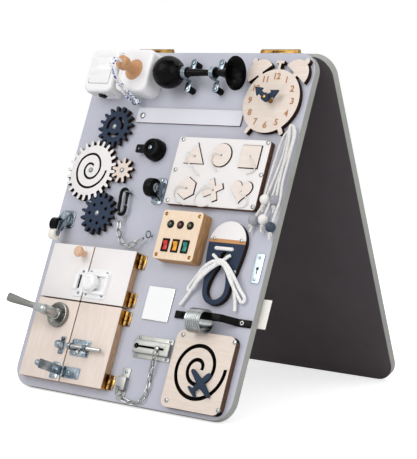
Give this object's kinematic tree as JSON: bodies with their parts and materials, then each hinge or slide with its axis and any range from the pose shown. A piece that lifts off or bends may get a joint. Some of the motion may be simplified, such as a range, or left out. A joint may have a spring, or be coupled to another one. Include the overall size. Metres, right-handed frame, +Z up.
{
  "type": "wooden busy board",
  "caption": "Tent-shaped wooden activity board for small children, with gears, a clock, doors with latches, a bulb horn, a shape sorter, a lacing shoe and a spiral maze.",
  "frame": {"origin": "middle of the footprint, on the floor", "axes": "+X along the width, to the right as the toys are seen; +Y towards the back panel; +Z up"},
  "size_m": [0.5211, 0.5956, 0.6164],
  "materials": {
    "lavender_paint": "matt paint",
    "dark_back": "matt paint",
    "brass": "yellow zinc plate",
    "white_plastic": "gloss",
    "beech": "oiled",
    "birch": "matt varnish",
    "white_paint": "matt paint",
    "navy_paint": "matt paint",
    "black_rubber": "semi-gloss",
    "black_plastic": "satin",
    "zinc": "zinc plate",
    "nickel": "satin nickel",
    "white_cord": "braided",
    "black_leather": "smooth",
    "ivory_plastic": "gloss",
    "red_plastic": "gloss",
    "orange_plastic": "gloss",
    "teal_plastic": "gloss"
  },
  "bodies": {
    "front": {"front_panel": "lavender_paint", "hinge_left_front": "brass", "hinge_right_front": "brass", "switch_housing": "white_plastic", "socket_housing": "white_plastic", "horn_bulb": "black_rubber", "horn_bell": "black_plastic", "clock_face": "birch", "name_strip": "white_paint", "bell_cup": "black_plastic", "caster_frame": "zinc", "swivel_plate": "zinc", "shape_board": "white_paint", "light_box": "birch", "shoe_board": "navy_paint", "shoe_lace": "white_cord", "bead_cords": "white_cord", "plug_rope": "white_cord", "carabiner": "black_plastic", "key_chain": "zinc", "chain_channel": "zinc", "door_chain": "zinc", "strap": "black_leather", "maze_board": "birch"},
    "back": {"back_panel": "dark_back", "hinge_left_back": "brass", "hinge_right_back": "brass"},
    "switch_rocker": {"switch_rocker": "white_plastic"},
    "socket_plug": {"socket_plug": "beech"},
    "clock_hour_hand": {"clock_hour_hand": "navy_paint"},
    "clock_minute_hand": {"clock_minute_hand": "navy_paint"},
    "gear_large": {"gear_large": "white_paint"},
    "gear_top": {"gear_top": "navy_paint"},
    "gear_small": {"gear_small": "birch"},
    "gear_bottom": {"gear_bottom": "navy_paint"},
    "bell_lever": {"bell_lever": "black_plastic"},
    "caster_wheel": {"caster_wheel": "black_rubber"},
    "swivel_fork": {"swivel_fork": "zinc"},
    "swivel_wheel": {"swivel_wheel": "ivory_plastic"},
    "shape_triangle": {"shape_triangle": "birch"},
    "shape_circle": {"shape_circle": "birch"},
    "shape_square": {"shape_square": "birch"},
    "shape_hexagon": {"shape_hexagon": "birch"},
    "shape_cross": {"shape_cross": "birch"},
    "shape_heart": {"shape_heart": "birch"},
    "button_red": {"button_red": "red_plastic"},
    "button_orange": {"button_orange": "orange_plastic"},
    "button_teal": {"button_teal": "teal_plastic"},
    "carabiner_gate": {"carabiner_gate": "black_plastic"},
    "door_lower_left": {"door_lower_left": "birch"},
    "door_lower_right": {"door_lower_right": "birch"},
    "door_upper_left": {"door_upper_left": "white_paint"},
    "door_upper_right": {"door_upper_right": "white_paint"},
    "latch_slider": {"latch_slider": "white_plastic"},
    "lever_handle": {"lever_handle": "nickel"},
    "bolt_rod": {"bolt_rod": "zinc"},
    "hasp_arm": {"hasp_arm": "zinc"},
    "chain_slider": {"chain_slider": "zinc"},
    "sleeve": {"sleeve": "nickel"},
    "maze_plane": {"maze_plane": "navy_paint"}
  },
  "joints": [
    {"name": "panel_fold", "type": "hinge", "parent": "front", "child": "back", "pos_m": [0, 0.03605, 0.61281], "axis": [1, 0, 0], "range_deg": [-43, 136]},
    {"name": "switch_tilt", "type": "hinge", "parent": "front", "child": "switch_rocker", "pos_m": [-0.19351, -0.04269, 0.57523], "axis": [1, 0, 0], "range_deg": [-6, 0]},
    {"name": "plug_pull", "type": "slide", "parent": "front", "child": "socket_plug", "axis": [0, -0.9293, 0.3693], "range_m": [0, 0.05], "deforming": ["plug_rope"]},
    {"name": "hour_hand_turn", "type": "hinge", "parent": "front", "child": "clock_hour_hand", "pos_m": [0.18849, -0.04073, 0.53141], "axis": [0, -0.9293, 0.3693], "continuous": true},
    {"name": "minute_hand_turn", "type": "hinge", "parent": "front", "child": "clock_minute_hand", "pos_m": [0.18849, -0.04473, 0.533], "axis": [0, -0.9293, 0.3693], "continuous": true},
    {"name": "gear_large_turn", "type": "hinge", "parent": "front", "child": "gear_large", "pos_m": [-0.18151, -0.07652, 0.38853], "axis": [0, -0.9293, 0.3693], "continuous": true},
    {"name": "gear_top_turn", "type": "hinge", "parent": "front", "child": "gear_top", "pos_m": [-0.15155, -0.0444, 0.46937], "axis": [0, -0.9293, 0.3693], "continuous": true},
    {"name": "gear_small_turn", "type": "hinge", "parent": "front", "child": "gear_small", "pos_m": [-0.10571, -0.07505, 0.39222], "axis": [0, -0.9293, 0.3693], "continuous": true},
    {"name": "gear_bottom_turn", "type": "hinge", "parent": "front", "child": "gear_bottom", "pos_m": [-0.1369, -0.10623, 0.31375], "axis": [0, -0.9293, 0.3693], "continuous": true},
    {"name": "bell_press", "type": "hinge", "parent": "front", "child": "bell_lever", "pos_m": [-0.05451, -0.0666, 0.43516], "axis": [0, 0.3693, 0.9293], "range_deg": [-15, 0], "stiffness_Nm_per_rad": 0.02},
    {"name": "caster_roll", "type": "hinge", "parent": "front", "child": "caster_wheel", "pos_m": [-0.01351, -0.10498, 0.36971], "axis": [1, 0, 0], "continuous": true},
    {"name": "swivel_turn", "type": "hinge", "parent": "front", "child": "swivel_fork", "pos_m": [-0.21451, -0.11811, 0.30229], "axis": [0, -0.9293, 0.3693], "continuous": true},
    {"name": "swivel_roll", "type": "hinge", "parent": "swivel_fork", "child": "swivel_wheel", "pos_m": [-0.21451, -0.1458, 0.27509], "axis": [1, 0, 0], "continuous": true},
    {"name": "triangle_lift", "type": "slide", "parent": "front", "child": "shape_triangle", "axis": [0, -0.9293, 0.3693], "range_m": [0, 0.04]},
    {"name": "circle_lift", "type": "slide", "parent": "front", "child": "shape_circle", "axis": [0, -0.9293, 0.3693], "range_m": [0, 0.04]},
    {"name": "square_lift", "type": "slide", "parent": "front", "child": "shape_square", "axis": [0, -0.9293, 0.3693], "range_m": [0, 0.04]},
    {"name": "hexagon_lift", "type": "slide", "parent": "front", "child": "shape_hexagon", "axis": [0, -0.9293, 0.3693], "range_m": [0, 0.04]},
    {"name": "cross_lift", "type": "slide", "parent": "front", "child": "shape_cross", "axis": [0, -0.9293, 0.3693], "range_m": [0, 0.04]},
    {"name": "heart_lift", "type": "slide", "parent": "front", "child": "shape_heart", "axis": [0, -0.9293, 0.3693], "range_m": [0, 0.04]},
    {"name": "button_red_tilt", "type": "hinge", "parent": "front", "child": "button_red", "pos_m": [0.05399, -0.14492, 0.27528], "axis": [1, 0, 0], "range_deg": [-18, 0]},
    {"name": "button_orange_tilt", "type": "hinge", "parent": "front", "child": "button_orange", "pos_m": [0.07599, -0.14492, 0.27528], "axis": [1, 0, 0], "range_deg": [-18, 0]},
    {"name": "button_teal_tilt", "type": "hinge", "parent": "front", "child": "button_teal", "pos_m": [0.09799, -0.14492, 0.27528], "axis": [1, 0, 0], "range_deg": [-18, 0]},
    {"name": "gate_open", "type": "hinge", "parent": "front", "child": "carabiner_gate", "pos_m": [-0.07371, -0.10512, 0.33605], "axis": [0, -0.9293, 0.3693], "range_deg": [0, 25], "stiffness_Nm_per_rad": 0.01},
    {"name": "door_lower_left_swing", "type": "hinge", "parent": "front", "child": "door_lower_left", "pos_m": [-0.21901, -0.22987, 0.0072], "axis": [0, 0.3693, 0.9293], "range_deg": [-100, 0]},
    {"name": "door_lower_right_swing", "type": "hinge", "parent": "front", "child": "door_lower_right", "pos_m": [-0.00951, -0.22987, 0.0072], "axis": [0, 0.3693, 0.9293], "range_deg": [0, 100]},
    {"name": "door_upper_left_swing", "type": "hinge", "parent": "front", "child": "door_upper_left", "pos_m": [-0.21901, -0.22987, 0.0072], "axis": [0, 0.3693, 0.9293], "range_deg": [-100, 0]},
    {"name": "door_upper_right_swing", "type": "hinge", "parent": "front", "child": "door_upper_right", "pos_m": [-0.00951, -0.22987, 0.0072], "axis": [0, 0.3693, 0.9293], "range_deg": [0, 100]},
    {"name": "latch_slide", "type": "slide", "parent": "door_upper_right", "child": "latch_slider", "axis": [1, 0, 0], "range_m": [-0.012, 0.012]},
    {"name": "lever_turn", "type": "hinge", "parent": "door_lower_left", "child": "lever_handle", "pos_m": [-0.15551, -0.19265, 0.13553], "axis": [0, -0.9293, 0.3693], "range_deg": [0, 45], "stiffness_Nm_per_rad": 0.6, "springref_deg": -28.65},
    {"name": "bolt_slide", "type": "slide", "parent": "door_lower_right", "child": "bolt_rod", "axis": [1, 0, 0], "range_m": [-0.023, 0]},
    {"name": "hasp_swing", "type": "hinge", "parent": "door_lower_right", "child": "hasp_arm", "pos_m": [-0.10951, -0.23237, 0.04478], "axis": [0, 0.3693, 0.9293], "range_deg": [-85, 85]},
    {"name": "chain_slide", "type": "slide", "parent": "front", "child": "chain_slider", "axis": [1, 0, 0], "range_m": [-0.045, 0.012], "deforming": ["door_chain"]},
    {"name": "sleeve_slide", "type": "slide", "parent": "front", "child": "sleeve", "axis": [1, 0, 0], "range_m": [-0.013, 0.02]},
    {"name": "plane_turn", "type": "hinge", "parent": "front", "child": "maze_plane", "pos_m": [0.19604, -0.21672, 0.06142], "axis": [0, -0.9293, 0.3693], "continuous": true}
  ],
  "couplings": [
    {"joint": "gear_top_turn", "follows": "gear_large_turn", "ratio": -1.5},
    {"joint": "gear_small_turn", "follows": "gear_large_turn", "ratio": -2.6667},
    {"joint": "gear_bottom_turn", "follows": "gear_large_turn", "ratio": -1.5}
  ]
}
